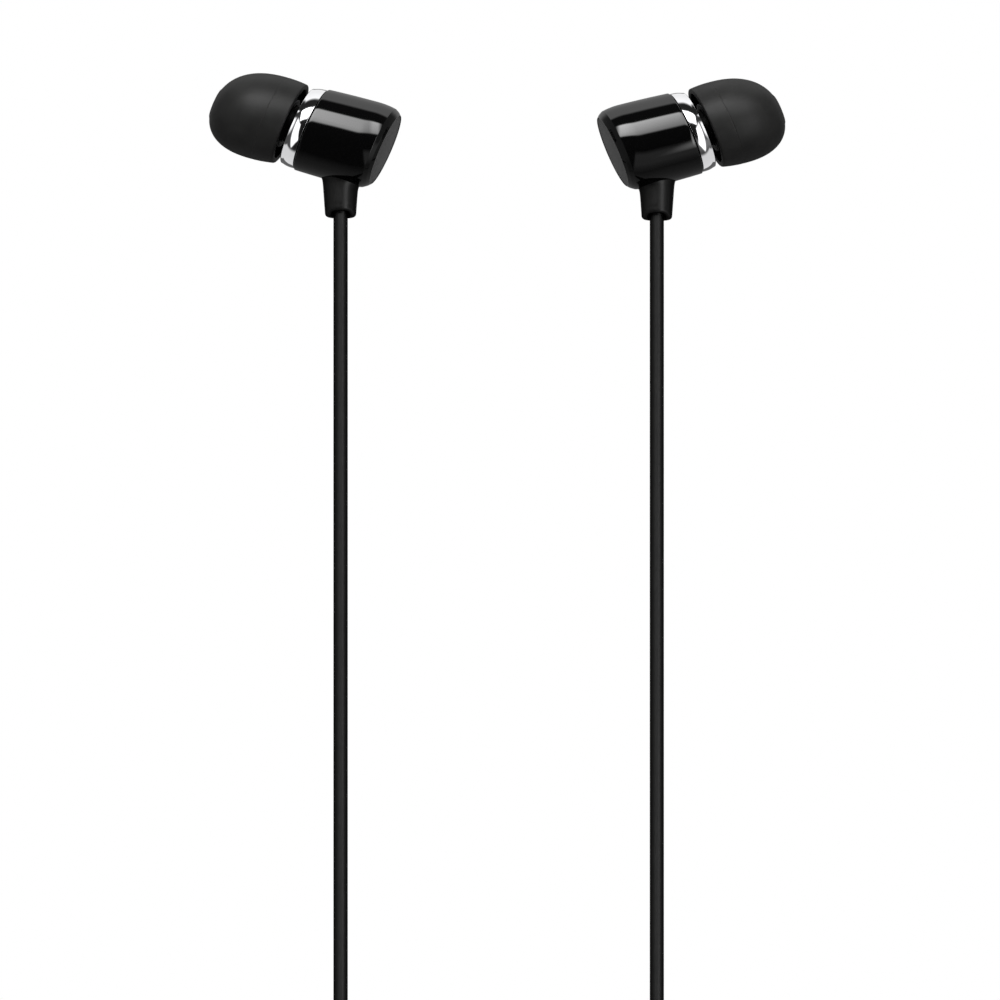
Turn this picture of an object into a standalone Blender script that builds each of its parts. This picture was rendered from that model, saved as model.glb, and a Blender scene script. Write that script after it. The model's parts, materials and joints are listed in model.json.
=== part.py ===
"""Wired in-ear earphones with a 3.5 mm stereo plug.

Two earpieces stand on their branch cables as they hang in use.  The branches reach the
resting plane, run back to the Y splitter, and the trunk cable lies in a flat spiral with
the jack plug at its heart.  Units below are millimetres; MM turns them into metres.

Frame: the origin is the centre of the splitter's flat underside, on the resting plane.
+Z is up along the hanging cables, +X runs to the right-hand earpiece, and the earpieces'
end caps face -Y.
"""

import math

import bmesh
import bpy
from mathutils import Matrix, Vector

MM = 0.001
GAP = 0.05  # clearance between two glued or pressed pieces

# Cables
BRANCH_R = 0.81
TRUNK_R = 1.0
CABLE_SIDES = 8
CHANNEL_SIDES = 16

# Where the earpieces hang
EAR_X = 17.92  # half the spacing of the two hanging cables
EAR_Y = -70.0
EAR_Z = 195.0  # height of the crossing of barrel axis and boot axis
PITCH = math.radians(19.4)  # nozzle axis above the horizontal
YAW = math.radians(4.5)  # nozzle axis turned away from -Y

# Earpiece, measured along its axis from the joint of ring and barrel; the nozzle is at +
SHELL_SIDES = 24
DRIVER_SIDES = 16
BARREL_FRONT_R = 6.12
BARREL_BULGE_R = 6.27
BARREL_BULGE_AT = -5.9
BARREL_CREASE = -8.02  # where the side ends and the rear edge turns in
BARREL_CREASE_R = 5.96
BARREL_EDGE_R = 5.62  # half way round the rear edge
BARREL_BORE_R = 5.2
BARREL_END = -8.8
BARREL_FLOOR = -7.4  # the inner shoulder that the end cap is glued to
BARREL_FLOOR_WALL = 0.65
BOOT_AT = -3.42  # where the boot's axis crosses the barrel's axis
CAP_R = 5.1
CAP_SPIGOT_R = 4.55
CAP_FACE = -8.75
RING_R = 5.92
RING_FRONT = 1.76
RING_ROUND = 0.75
COLLAR_R = 4.25
NOZZLE_R = 2.55
NOZZLE_LIP_R = 2.75
NOZZLE_END = 7.0
SOUND_BORE_R = 1.7
MESH_R = 2.0

# Ear tip
TIP_RIM = 2.5
TIP_RIM_R = 5.93
TIP_WIDEST = 5.1
TIP_R = 6.22
TIP_NOSE = 11.65
TIP_POWER = 2.4  # exponent of the superellipse that draws the dome
TIP_BORE_R = 2.8
TIP_MOUTH_R = 1.95
TIP_CORE_R = 3.6

# Boot, measured along its axis below the crossing with the barrel's axis
BOOT_BOTTOM = 11.6
BOOT_TOP_R = 2.04
BOOT_BOTTOM_R = 1.74
BOOT_ROUND = 0.6
BOOT_SIDES = 20
NECK_R = 1.3
PIVOT_CLEARANCE = 0.8  # from a branch cable's pivot to the face that it enters

# Splitter
SPLIT_HALF_LENGTH = 8.0
SPLIT_MOUTH_HALF_WIDTH = 3.3
SPLIT_TAIL_HALF_WIDTH = 2.4
SPLIT_HEIGHT = 3.4
SPLIT_AXIS_Z = SPLIT_HEIGHT / 2
BRANCH_SPACING = 1.6  # of each branch from the splitter's middle
SPLIT_PIVOT_CLEARANCE = 0.9

# Branch cable on the resting plane
FOOT_BEND_R = 14.0
FOOT_Y = EAR_Y + FOOT_BEND_R

# Trunk spiral
COIL_Y = 60.0
COIL_OUTER_R = 38.0
COIL_PITCH = 2.5
COIL_WHOLE_TURNS = 4
COIL_STEPS = 28  # per turn
TAIL_R = 9.0

# Plug, measured along its axis from the pivot where the cable bends
PLUG_SIDES = 20
PLUG_GRIP_R = 3.2
PLUG_RELIEF_START = 1.1
PLUG_GRIP_START = 8.1
PLUG_SHOULDER = 23.1
PLUG_METAL_LENGTH = 14.0
PLUG_METAL_R = 1.75


def clear_scene():
    for obj in list(bpy.data.objects):
        bpy.data.objects.remove(obj, do_unlink=True)


def make_material(name, colour, roughness, metallic=0.0):
    made = bpy.data.materials.new(name)
    made.use_nodes = True
    shader = made.node_tree.nodes["Principled BSDF"]
    shader.inputs["Base Color"].default_value = (*colour, 1.0)
    shader.inputs["Roughness"].default_value = roughness
    shader.inputs["Metallic"].default_value = metallic
    return made


def make_materials():
    return {
        "silicone": make_material("silicone", (0.018, 0.018, 0.017), 0.5),
        "gloss_black": make_material("gloss_black", (0.006, 0.006, 0.006), 0.06),
        "satin_black": make_material("satin_black", (0.05, 0.05, 0.05), 0.35),
        "chrome": make_material("chrome", (0.86, 0.87, 0.88), 0.05, 1.0),
        "rubber": make_material("rubber", (0.016, 0.016, 0.015), 0.45),
        "cable": make_material("cable", (0.014, 0.014, 0.014), 0.42),
        "abs": make_material("abs", (0.02, 0.02, 0.02), 0.4),
        "steel": make_material("steel", (0.6, 0.6, 0.6), 0.3, 1.0),
        "magnet": make_material("magnet", (0.5, 0.5, 0.52), 0.25, 1.0),
        "film": make_material("film", (0.7, 0.65, 0.5), 0.3),
        "copper": make_material("copper", (0.8, 0.4, 0.25), 0.3, 1.0),
        "board": make_material("board", (0.05, 0.2, 0.08), 0.5),
        "foam": make_material("foam", (0.1, 0.1, 0.1), 0.9),
        "gold": make_material("gold", (0.95, 0.72, 0.32), 0.18, 1.0),
    }


def make_frame(name, matrix, parent=None):
    """An empty at a place given in world millimetres."""
    empty = bpy.data.objects.new(name, None)
    bpy.context.scene.collection.objects.link(empty)
    world = Matrix.Translation(matrix.to_translation() * MM) @ matrix.to_3x3().to_4x4()
    empty.parent = parent
    if parent is not None:
        empty.matrix_basis = parent.matrix_world.inverted() @ world
    else:
        empty.matrix_basis = world
    bpy.context.view_layer.update()
    return empty


def add_object(name, bm, material, parent):
    """Turns a bmesh in millimetres into an object that sits in its parent's frame."""
    bmesh.ops.recalc_face_normals(bm, faces=bm.faces)
    bmesh.ops.scale(bm, vec=(MM, MM, MM), verts=bm.verts)
    mesh = bpy.data.meshes.new(name)
    bm.to_mesh(mesh)
    bm.free()
    mesh.shade_smooth()
    mesh.set_sharp_from_angle(angle=math.radians(35))
    if material is not None:
        mesh.materials.append(material)
    obj = bpy.data.objects.new(name, mesh)
    bpy.context.scene.collection.objects.link(obj)
    obj.parent = parent
    return obj


def as_helper(obj):
    obj.hide_render = True
    obj.display_type = "WIRE"
    return obj


def turned(name, profile, sides, material, parent):
    """Spins (height, radius) points about local Z.  A profile that starts and ends on the
    axis is left open there; any other is closed into a ring section."""
    bm = bmesh.new()
    verts = [bm.verts.new((radius, 0.0, height)) for height, radius in profile]
    edges = [bm.edges.new(pair) for pair in zip(verts, verts[1:])]
    if profile[0][1] > 0 or profile[-1][1] > 0:
        edges.append(bm.edges.new((verts[-1], verts[0])))
    bmesh.ops.spin(
        bm,
        geom=verts + edges,
        cent=(0, 0, 0),
        axis=(0, 0, 1),
        angle=math.tau,
        steps=sides,
        use_merge=True,
    )
    bmesh.ops.remove_doubles(bm, verts=bm.verts, dist=1e-5)
    return add_object(name, bm, material, parent)


def rod(name, low, high, radius, sides, material, parent):
    return turned(name, [(low, 0), (low, radius), (high, radius), (high, 0)], sides, material, parent)


def tube(name, low, high, inner, outer, sides, material, parent):
    profile = [(low, inner), (low, outer), (high, outer), (high, inner)]
    return turned(name, profile, sides, material, parent)


def rounded_ends(path, radius, round_start, round_end):
    """(point, tangent, radius) stations along a path, with dome stations at a round end."""
    count = len(path)
    tangents = []
    for index in range(count):
        ahead = path[min(index + 1, count - 1)]
        behind = path[max(index - 1, 0)]
        tangents.append((ahead - behind).normalized())
    stations = [(p, t, radius) for p, t in zip(path, tangents)]
    dome = [(math.sin(a), math.cos(a)) for a in (math.radians(35), math.radians(65), math.radians(90))]
    if round_start:
        start, tangent = path[0], tangents[0]
        added = [(start - tangent * radius * s, tangent, radius * c) for s, c in dome]
        stations = added[::-1] + stations
    if round_end:
        end, tangent = path[-1], tangents[-1]
        stations += [(end + tangent * radius * s, tangent, radius * c) for s, c in dome]
    return stations


def swept(name, path, radius, sides, material, parent, round_start=False, round_end=False):
    """A round bar along a path of points in the parent's frame."""
    bm = bmesh.new()
    stations = rounded_ends(path, radius, round_start, round_end)
    normal = stations[0][1].orthogonal().normalized()
    rings = []
    for point, tangent, size in stations:
        normal = (normal - tangent * normal.dot(tangent)).normalized()
        side = tangent.cross(normal)
        if size < 1e-6:
            rings.append([bm.verts.new(point)])
            continue
        turns = [math.tau * k / sides for k in range(sides)]
        rings.append([bm.verts.new(point + size * (normal * math.cos(a) + side * math.sin(a))) for a in turns])
    for low, high in zip(rings, rings[1:]):
        for k in range(sides):
            corners = [low[k % len(low)], low[(k + 1) % len(low)], high[(k + 1) % len(high)], high[k % len(high)]]
            bm.faces.new(list(dict.fromkeys(corners)))
    for ring in (rings[0], rings[-1]):
        if len(ring) > 1:
            bm.faces.new(ring)
    return add_object(name, bm, material, parent)


def boolean(obj, helper, operation):
    modifier = obj.modifiers.new(operation.lower() + "_" + helper.name, "BOOLEAN")
    modifier.operation = operation
    modifier.solver = "EXACT"
    modifier.object = helper


def block(name, low, high, material, parent):
    bm = bmesh.new()
    size = Vector(high) - Vector(low)
    middle = (Vector(high) + Vector(low)) / 2
    bmesh.ops.create_cube(bm, size=1.0)
    bmesh.ops.scale(bm, vec=size, verts=bm.verts)
    bmesh.ops.translate(bm, vec=middle, verts=bm.verts)
    return add_object(name, bm, material, parent)


def arc(centre_height, centre_radius, radius, start, end, steps):
    """(height, radius) points on an arc; angle 0 points outwards, 90 degrees up."""
    points = []
    for k in range(steps + 1):
        angle = math.radians(start + (end - start) * k / steps)
        points.append((centre_height + radius * math.sin(angle), centre_radius + radius * math.cos(angle)))
    return points


def bezier(p0, p1, p2, p3, steps):
    points = []
    for k in range(steps + 1):
        t = k / steps
        s = 1 - t
        points.append(p0 * s**3 + p1 * 3 * s * s * t + p2 * 3 * s * t * t + p3 * t**3)
    return points


def smoothstep(t):
    t = min(max(t, 0.0), 1.0)
    return t * t * (3 - 2 * t)


def lay_down(points, start_height, floor_height, drop_length):
    """Gives plan points a height that falls from start to floor over drop_length."""
    laid, travelled, previous = [], 0.0, points[0]
    for point in points:
        travelled += (point - previous).length
        previous = point
        height = start_height + (floor_height - start_height) * smoothstep(travelled / drop_length)
        laid.append(Vector((point.x, point.y, height)))
    return laid


# ------------------------------------------------------------------ earpiece


def nozzle_frame_matrix(side, crossing):
    """World frame of an earpiece: Z along its nozzle, Y as near to up as it can be."""
    flat = math.cos(PITCH)
    axis = Vector((side * flat * math.cos(YAW), flat * math.sin(YAW), math.sin(PITCH)))
    up = (Vector((0, 0, 1)) - axis * axis.z).normalized()
    across = up.cross(axis)
    origin = crossing - axis * BOOT_AT
    return Matrix.Translation(origin) @ Matrix((across, up, axis)).transposed().to_4x4()


def tip_radius(height):
    """Outer radius of the ear tip's skirt and dome."""
    if height <= TIP_WIDEST:
        share = (TIP_WIDEST - height) / (TIP_WIDEST - TIP_RIM)
        return TIP_R - (TIP_R - TIP_RIM_R) * share**2
    share = (height - TIP_WIDEST) / (TIP_NOSE - TIP_WIDEST)
    return TIP_R * (1 - share**TIP_POWER) ** (1 / TIP_POWER)


def ear_tip_profile():
    outside = [(h, tip_radius(h)) for h in (2.6, 3.8, TIP_WIDEST, 6.5, 7.7, 8.8, 9.7, 10.4, 10.95, 11.35)]
    bore = [(11.0, TIP_MOUTH_R), (NOZZLE_END + 0.4, TIP_MOUTH_R), (NOZZLE_END + 0.4, TIP_BORE_R)]
    core = [(TIP_RIM + 0.15, TIP_BORE_R), (TIP_RIM + 0.15, TIP_CORE_R), (8.2, TIP_CORE_R)]
    wall = 0.65
    inside = [(h, tip_radius(h) - wall) for h in (8.6, 7.2, TIP_WIDEST, 3.4, TIP_RIM)]
    return outside + bore + core + inside


def front_shell_profile():
    return [
        (-1.0, BARREL_BORE_R - GAP),
        (0.0, BARREL_BORE_R - GAP),
        (0.0, COLLAR_R),
        (RING_FRONT, COLLAR_R),
        (RING_FRONT, NOZZLE_R),
        (6.3, NOZZLE_R),
        (6.45, NOZZLE_LIP_R),
        (NOZZLE_END, NOZZLE_LIP_R),
        (NOZZLE_END, MESH_R + GAP),
        (6.6, MESH_R + GAP),
        (6.6, SOUND_BORE_R),
        (0.9, SOUND_BORE_R),
        (-0.2, 4.3),
        (-1.0, 4.3),
    ]


def barrel_side(height):
    """Radius of the barrel's side: a faint bulge that falls off faster towards the rear."""
    if height > BARREL_BULGE_AT:
        end, end_r = 0.0, BARREL_FRONT_R
    else:
        end, end_r = BARREL_CREASE, BARREL_CREASE_R
    share = (height - BARREL_BULGE_AT) / (end - BARREL_BULGE_AT)
    return BARREL_BULGE_R - (BARREL_BULGE_R - end_r) * share**2


def barrel_outline(clearance=0.0):
    """The barrel's outside from front to back."""
    side = [(height, barrel_side(height)) for height in (-0.12, -3.0, BARREL_BULGE_AT, -7.0, BARREL_CREASE)]
    rear = [(BARREL_CREASE - 0.45, BARREL_EDGE_R), (BARREL_END, CAP_R + 0.1)]
    outline = [(0.0, BARREL_FRONT_R - 0.08)] + side + rear
    return [(height, radius + clearance) for height, radius in outline]


def barrel_profile():
    floor_end = BARREL_FLOOR - BARREL_FLOOR_WALL
    hole_r, spigot_hole_r = CAP_R + GAP, CAP_SPIGOT_R + GAP
    rear = [(BARREL_END, hole_r), (floor_end, hole_r), (floor_end, spigot_hole_r), (BARREL_FLOOR, spigot_hole_r)]
    return barrel_outline() + rear + [(BARREL_FLOOR, BARREL_BORE_R), (0.0, BARREL_BORE_R)]


def end_cap_profile():
    """A glued disc with a spigot ring on its inner side."""
    seat = BARREL_FLOOR - BARREL_FLOOR_WALL - GAP
    spigot_end = BARREL_FLOOR - 0.1
    spigot_bore_r = CAP_SPIGOT_R - 0.75
    disc = [(CAP_FACE, 0), (CAP_FACE, CAP_R), (seat, CAP_R), (seat, CAP_SPIGOT_R)]
    return disc + [(spigot_end, CAP_SPIGOT_R), (spigot_end, spigot_bore_r), (seat, spigot_bore_r), (seat, 0)]


def chrome_ring_profile():
    front_edge = arc(RING_FRONT - RING_ROUND, RING_R - RING_ROUND, RING_ROUND, 0, 90, 3)
    inner = COLLAR_R + GAP
    return [(GAP, inner), (GAP, RING_R)] + front_edge + [(RING_FRONT, inner)]


def build_driver(suffix, frame, mats):
    """The moving-coil driver, from its front gasket to its terminal board."""
    outer = 4.95
    tube("driver_gasket" + suffix, -1.3, -1.05, 4.3, outer, DRIVER_SIDES, mats["foam"], frame)
    tube("driver_grille" + suffix, -1.6, -1.35, 1.2, outer, DRIVER_SIDES, mats["steel"], frame)
    basket = [(-1.65, 4.6), (-1.65, outer), (-3.5, outer), (-3.5, 3.12)]
    basket += [(-3.1, 3.12), (-3.1, 4.2), (-2.2, 4.2), (-2.2, 4.6)]
    turned("driver_basket" + suffix, basket, DRIVER_SIDES, mats["abs"], frame)
    film = 0.12
    dome = [(-1.75, 0), (-1.85, 1.2), (-2.05, 2.2), (-1.85, 3.3), (-2.02, 4.5)]
    membrane = dome + [(height - film, radius) for height, radius in reversed(dome)]
    turned("diaphragm" + suffix, membrane, DRIVER_SIDES, mats["film"], frame)
    tube("voice_coil" + suffix, -3.4, -2.25, 2.12, 2.33, DRIVER_SIDES, mats["copper"], frame)
    rod("pole_plate" + suffix, -2.9, -2.5, 2.0, DRIVER_SIDES, mats["steel"], frame)
    rod("magnet" + suffix, -3.9, -2.95, 1.9, DRIVER_SIDES, mats["magnet"], frame)
    cup = [(-4.4, 0), (-4.4, 3.0), (-2.6, 3.0), (-2.6, 2.45), (-3.95, 2.45), (-3.95, 0)]
    turned("yoke_cup" + suffix, cup, DRIVER_SIDES, mats["steel"], frame)
    block("terminal_board" + suffix, (-1.6, 3.3, -3.9), (1.6, 4.45, -3.55), mats["board"], frame)


def build_leads(suffix, frame, mats):
    """Two enamelled wires from the cable's end to the terminal board."""
    start_down = 3.5
    for name, sign in (("lead_signal", 1), ("lead_ground", -1)):
        start = Vector((sign * 0.3, -start_down * math.cos(PITCH), BOOT_AT - start_down * math.sin(PITCH)))
        way = [Vector((sign * 0.45, -1.6, -5.3)), Vector((sign * 0.7, 2.8, -5.6)), Vector((sign * 0.9, 3.9, -4.12))]
        swept(name + suffix, bezier(start, *way, 8), 0.14, 6, mats["copper"], frame)


def build_boot(suffix, upright, axis_frame, mats):
    """The rubber strain relief: a tapered sleeve whose saddle top fits the barrel and whose
    neck goes through the barrel's wall."""
    top = 4.4
    base = arc(-BOOT_BOTTOM + BOOT_ROUND, BOOT_BOTTOM_R - BOOT_ROUND, BOOT_ROUND, -90, 0, 3)
    boot = turned("boot" + suffix, [(-BOOT_BOTTOM, 0)] + base + [(-6.0, BOOT_TOP_R), (-top, BOOT_TOP_R), (-top, 0)],
                  BOOT_SIDES, mats["rubber"], upright)
    saddle_outline = barrel_outline(0.06)
    saddle_outline = [(saddle_outline[0][0], 0)] + saddle_outline + [(saddle_outline[-1][0], 0)]
    saddle = as_helper(turned("boot_saddle_cutter" + suffix, saddle_outline, SHELL_SIDES, None, axis_frame))
    neck = as_helper(rod("boot_neck" + suffix, -8.5, -4.95, NECK_R, BOOT_SIDES, None, upright))
    flare_r, flare_depth = BRANCH_R + 0.27, 0.9
    bore_profile = [(-13.0, 0), (-13.0, flare_r), (-BOOT_BOTTOM + flare_depth, flare_r)]
    bore_profile += [(-BOOT_BOTTOM + flare_depth + 0.3, BRANCH_R + 0.08), (-3.0, BRANCH_R + 0.08), (-3.0, 0)]
    bore = as_helper(turned("boot_bore_cutter" + suffix, bore_profile, CHANNEL_SIDES, None, upright))
    boolean(boot, saddle, "DIFFERENCE")
    boolean(boot, neck, "UNION")
    boolean(boot, bore, "DIFFERENCE")


def build_cable_end(suffix, upright, mats):
    """The end of the branch cable that the boot grips, with its retaining bead inside."""
    bead_r, bead_low, bead_high = 1.1, -4.7, -3.7
    profile = [(-BOOT_BOTTOM + GAP, 0), (-BOOT_BOTTOM + GAP, BRANCH_R), (bead_low, BRANCH_R), (bead_low, bead_r)]
    profile += [(bead_high, bead_r), (bead_high, 0)]
    turned("cable_end" + suffix, profile, CABLE_SIDES, mats["cable"], upright)


def build_earpiece(side, suffix, parent, mats):
    crossing = Vector((side * EAR_X, EAR_Y, EAR_Z))
    pivot = crossing - Vector((0, 0, BOOT_BOTTOM + PIVOT_CLEARANCE))
    tilt = make_frame("tilt_frame" + suffix, Matrix.Translation(pivot), parent)
    upright = make_frame("boot_frame" + suffix, Matrix.Translation(crossing), tilt)
    axis_frame = make_frame("axis_frame" + suffix, nozzle_frame_matrix(side, crossing), tilt)

    barrel = turned("barrel" + suffix, barrel_profile(), SHELL_SIDES, mats["gloss_black"], axis_frame)
    hole = as_helper(rod("boot_hole_cutter" + suffix, -9.0, -3.5, NECK_R + 0.08, BOOT_SIDES, None, upright))
    boolean(barrel, hole, "DIFFERENCE")
    turned("end_cap" + suffix, end_cap_profile(), SHELL_SIDES, mats["satin_black"], axis_frame)
    turned("chrome_ring" + suffix, chrome_ring_profile(), SHELL_SIDES, mats["chrome"], axis_frame)
    turned("front_shell" + suffix, front_shell_profile(), SHELL_SIDES, mats["abs"], axis_frame)
    rod("nozzle_mesh" + suffix, 6.65, 6.85, MESH_R, SHELL_SIDES, mats["steel"], axis_frame)
    turned("ear_tip" + suffix, ear_tip_profile(), SHELL_SIDES, mats["silicone"], axis_frame)
    build_driver(suffix, axis_frame, mats)
    build_leads(suffix, axis_frame, mats)
    build_boot(suffix, upright, axis_frame, mats)
    build_cable_end(suffix, upright, mats)


# ------------------------------------------------------------------ cables


def branch_path(side):
    """From the splitter's mouth along the resting plane, then up to the boot."""
    start = Vector((side * BRANCH_SPACING, -SPLIT_HALF_LENGTH - SPLIT_PIVOT_CLEARANCE, 0))
    foot = Vector((side * EAR_X, FOOT_Y, 0))
    plan = bezier(start, start + Vector((0, -20, 0)), foot + Vector((0, 22, 0)), foot, 12)
    laid = lay_down(plan, SPLIT_AXIS_Z, BRANCH_R, 11.0)
    bend = []
    for k in range(1, 8):
        angle = math.radians(90 * k / 7)
        rise = FOOT_BEND_R * (1 - math.cos(angle))
        bend.append(foot + Vector((0, -FOOT_BEND_R * math.sin(angle), BRANCH_R + rise)))
    top = Vector((side * EAR_X, EAR_Y, EAR_Z - BOOT_BOTTOM - PIVOT_CLEARANCE))
    return laid + bend + [top]


def build_branch(side, suffix, mats):
    path = branch_path(side)
    frame = make_frame("branch_frame" + suffix, Matrix.Translation(path[0]))
    local = [point - path[0] for point in path]
    swept("cable_branch" + suffix, local, BRANCH_R, CABLE_SIDES, mats["cable"], frame, True, True)
    return frame


def coil_end_angle():
    """Where the spiral ends, so that the tail brings the plug onto the coil's middle line."""
    inner = COIL_OUTER_R - COIL_PITCH * (COIL_WHOLE_TURNS + 1 / 6)
    return math.acos(-TAIL_R / (inner - TAIL_R))


def coil_points():
    """The clockwise flat spiral, starting at the coil's left side."""
    total = math.pi - coil_end_angle() + math.tau * COIL_WHOLE_TURNS
    steps = round(total / math.tau * COIL_STEPS)
    points = []
    for k in range(steps + 1):
        turned_by = total * k / steps
        radius = COIL_OUTER_R - COIL_PITCH * turned_by / math.tau
        angle = math.pi - turned_by
        points.append(Vector((radius * math.cos(angle), COIL_Y + radius * math.sin(angle), TRUNK_R)))
    return points


def tail_points(spiral_end):
    """The tight bend that leads from the spiral's inner end to the plug."""
    start_angle = coil_end_angle()
    centre = spiral_end - TAIL_R * Vector((math.cos(start_angle), math.sin(start_angle), 0))
    points = []
    steps = 8
    for k in range(1, steps + 1):
        angle = start_angle * (1 - k / steps)
        lift = (PLUG_GRIP_R - TRUNK_R) * smoothstep(k / steps)
        points.append(centre + Vector((TAIL_R * math.cos(angle), TAIL_R * math.sin(angle), lift)))
    return points


def build_trunk(mats):
    """Splitter to plug: a lead-in, the flat spiral and the tail.  Returns the plug's pivot."""
    spiral = coil_points()
    start = Vector((0, 3.4, SPLIT_AXIS_Z))
    exit_point = Vector((0, SPLIT_HALF_LENGTH + 1.0, 0))
    join = Vector((spiral[0].x, spiral[0].y, 0))
    plan = bezier(exit_point, exit_point + Vector((0, 9, 0)), join - Vector((0, 37, 0)), join, 12)[:-1]
    lead_in = lay_down(plan, SPLIT_AXIS_Z, TRUNK_R, 11.0)
    path = [start] + lead_in + spiral + tail_points(spiral[-1])
    swept("cable_trunk", path, TRUNK_R, CABLE_SIDES, mats["cable"], None, False, True)
    return path[-1]


# ------------------------------------------------------------------ splitter


def splitter_half(name, low, high, rounded_high, mats):
    """One moulded half: a tapered block with rounded corners and one softened rim."""
    bm = bmesh.new()
    mouth, tail, half = SPLIT_MOUTH_HALF_WIDTH, SPLIT_TAIL_HALF_WIDTH, SPLIT_HALF_LENGTH
    corners = [(-mouth, -half), (mouth, -half), (tail, half), (-tail, half)]
    face = bm.faces.new([bm.verts.new((x, y, low)) for x, y in corners])
    grown = bmesh.ops.extrude_face_region(bm, geom=[face])
    raised = [item for item in grown["geom"] if isinstance(item, bmesh.types.BMVert)]
    bmesh.ops.translate(bm, vec=(0, 0, high - low), verts=raised)
    upright = [e for e in bm.edges if abs(e.verts[0].co.z - e.verts[1].co.z) > 0.1]
    bmesh.ops.bevel(bm, geom=upright, offset=1.3, segments=3, profile=0.5, affect="EDGES")
    level = high if rounded_high else low
    rim = [e for e in bm.edges if all(abs(v.co.z - level) < 1e-4 for v in e.verts)]
    bmesh.ops.bevel(bm, geom=rim, offset=0.45, segments=2, profile=0.5, affect="EDGES")
    return add_object(name, bm, mats["rubber"], None)


def channel(name, x, start, end, radius):
    """A helper bar along Y through the splitter's axis height."""
    path = [Vector((x, start, SPLIT_AXIS_Z)), Vector((x, end, SPLIT_AXIS_Z))]
    return as_helper(swept(name, path, radius, CHANNEL_SIDES, None, None))


def build_splitter(mats):
    seam = 0.02
    base = splitter_half("splitter_base", 0.0, SPLIT_AXIS_Z - seam, False, mats)
    lid = splitter_half("splitter_lid", SPLIT_AXIS_Z + seam, SPLIT_HEIGHT, True, mats)
    pocket = as_helper(block("splitter_pocket_cutter", (-2.3, -4.9, 0.75), (2.3, 3.3, 2.65), None, None))
    cutters = [pocket, channel("trunk_channel_cutter", 0.0, 2.0, 10.0, TRUNK_R + 0.1)]
    for side, suffix in ((-1, "_left"), (1, "_right")):
        cutters.append(channel("branch_channel_cutter" + suffix, side * BRANCH_SPACING, -10.0, -4.0, BRANCH_R + 0.08))
    for half in (base, lid):
        for helper in cutters:
            boolean(half, helper, "DIFFERENCE")
    core = block("splitter_core", (-2.2, -4.8, 0.85), (2.2, 3.2, 2.55), mats["abs"], None)
    for side, suffix in ((-1, "_left"), (1, "_right")):
        stub = channel("branch_stub" + suffix, side * BRANCH_SPACING, -SPLIT_HALF_LENGTH + GAP, -4.0, BRANCH_R)
        boolean(core, stub, "UNION")


# ------------------------------------------------------------------ plug


def relief_rings():
    """Outer profile of the plug's ribbed strain relief."""
    profile = []
    ribs, rise = 4, (2.35 - 1.6) / 4
    step = (PLUG_GRIP_START - PLUG_RELIEF_START) / ribs
    for k in range(ribs):
        low = PLUG_RELIEF_START + k * step
        radius = 1.6 + rise * k
        profile += [(low, radius), (low + step * 0.62, radius + rise * 0.6)]
        if k < ribs - 1:
            profile += [(low + step * 0.64, radius - 0.12), (low + step * 0.98, radius - 0.12)]
    return profile


def plug_tip_profile(low):
    end = PLUG_SHOULDER + PLUG_METAL_LENGTH
    waist, bulge = end - 2.7, end - 1.9
    return [(low, 0), (low, PLUG_METAL_R), (low + 0.5, PLUG_METAL_R), (waist, 1.3), (bulge, 1.6),
            (bulge + 0.5, 1.6), (end - 0.15, 0.55), (end, 0.4), (end, 0)]


def build_plug(pivot, mats):
    """The plug points along -Y from the pivot; its frame's Z runs along its axis."""
    aim = Matrix(((1, 0, 0), (0, 0, -1), (0, 1, 0))).to_4x4()
    frame = make_frame("plug_frame", Matrix.Translation(pivot) @ aim)
    core_r, rod_end = 1.0, 32.9
    sleeve_start, core_start = 19.0, 15.5
    grip = relief_rings() + [(PLUG_GRIP_START, PLUG_GRIP_R - 0.5), (PLUG_GRIP_START + 0.5, PLUG_GRIP_R)]
    grip += [(PLUG_SHOULDER - 0.4, PLUG_GRIP_R), (PLUG_SHOULDER, PLUG_GRIP_R - 0.4)]
    grip += [(PLUG_SHOULDER, PLUG_METAL_R + 0.08), (sleeve_start - GAP, PLUG_METAL_R + 0.08)]
    grip += [(sleeve_start - GAP, core_r + 0.1), (PLUG_RELIEF_START, core_r + 0.1)]
    turned("plug_grip", grip, PLUG_SIDES, mats["rubber"], frame)
    rod("plug_cable_end", PLUG_RELIEF_START + GAP, core_start - 1.0, TRUNK_R, PLUG_SIDES, mats["cable"], frame)
    rod("plug_core", core_start, rod_end, core_r, PLUG_SIDES, mats["steel"], frame)
    stack = [
        ("plug_sleeve", sleeve_start, 29.3, PLUG_METAL_R, "gold"),
        ("plug_band_rear", 29.35, 29.9, 1.7, "abs"),
        ("plug_ring", 29.95, 32.3, PLUG_METAL_R, "gold"),
        ("plug_band_front", 32.35, 32.9, 1.7, "abs"),
    ]
    for name, low, high, outer, material in stack:
        tube(name, low, high, core_r + GAP, outer, PLUG_SIDES, mats[material], frame)
    turned("plug_tip", plug_tip_profile(rod_end + GAP), PLUG_SIDES, mats["gold"], frame)


def main():
    clear_scene()
    mats = make_materials()
    for side, suffix in ((-1, "_left"), (1, "_right")):
        branch_frame = build_branch(side, suffix, mats)
        build_earpiece(side, suffix, branch_frame, mats)
    build_splitter(mats)
    build_plug(build_trunk(mats), mats)
    bpy.context.view_layer.update()


main()
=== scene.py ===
"""Looks for the wired in-ear earphones: fine meshes, procedural materials, light and camera.

The object's lengths are in millimetres until MM turns them into metres; the light panels and the
camera's distance are in metres.  Each earpiece is drawn in its own axis frame, whose Z runs along
the barrel towards the nozzle and starts at the joint of barrel and chrome ring.  The frame's
joints say where the earpieces, splitter mouths and plug are.
"""
import json
import math

import bmesh
import bpy
from mathutils import Matrix, Vector


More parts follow.
